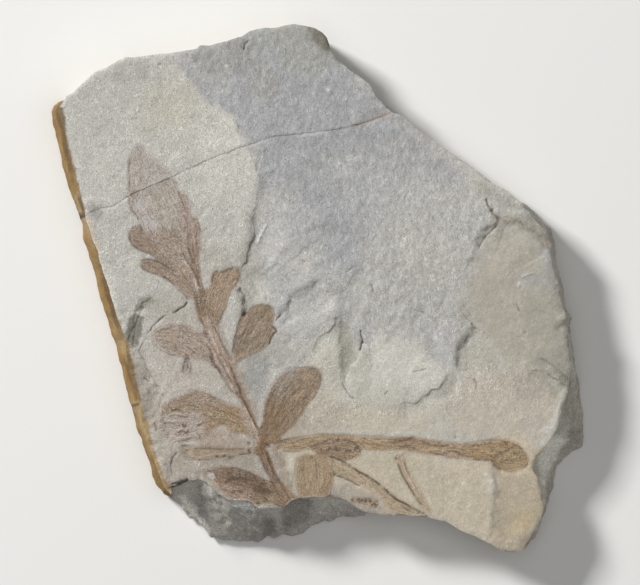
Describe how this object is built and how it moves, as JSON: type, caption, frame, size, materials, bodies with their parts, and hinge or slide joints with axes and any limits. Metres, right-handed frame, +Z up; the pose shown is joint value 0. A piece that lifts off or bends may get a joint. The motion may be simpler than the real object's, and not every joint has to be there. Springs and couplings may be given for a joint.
{
  "type": "fossil cycad leaf plate",
  "caption": "Irregular slab of pale limestone with a brown pressed leaf, crossing stems and scraps in its face, mended along one break; lies flat on its back.",
  "frame": {"origin": "middle of the plate's bounding box, on its flat back", "axes": "+Z up, out of the fossil face; +Y up the leaf's face towards the upper fragment; +X to the right when the face is seen from above"},
  "size_m": [0.2237, 0.222, 0.0244],
  "materials": {
    "stone": "dry matt fine-grained limestone, ochre on the weathered left side, grey on the fresh break",
    "leaf_film": "dry matt brown film with fine veins",
    "faded_film": "dry matt pale brown film, worn to the stone in places",
    "dark_film": "dry matt dark brown film, broken up"
  },
  "bodies": {
    "root": {"slab_lower": "stone", "slab_upper": "stone", "rachis": "leaf_film", "terminal_leaflet_tip": "faded_film", "terminal_leaflet": "faded_film", "left_leaflet_1": "leaf_film", "left_leaflet_2": "leaf_film", "left_leaflet_3": "leaf_film", "left_leaflet_4": "leaf_film", "left_leaflet_5": "dark_film", "right_leaflet_0": "leaf_film", "right_leaflet_1": "leaf_film", "right_leaflet_2": "leaf_film", "right_leaflet_3": "leaf_film", "right_leaflet_4": "faded_film", "cross_stem_left": "faded_film", "cross_stem_right": "leaf_film", "cross_stem_leaflet": "leaf_film", "loose_leaflet": "leaf_film", "lower_stem": "faded_film", "short_stem": "faded_film", "leaf_scrap_left": "dark_film", "leaf_scrap_edge": "dark_film"}
  },
  "joints": []
}
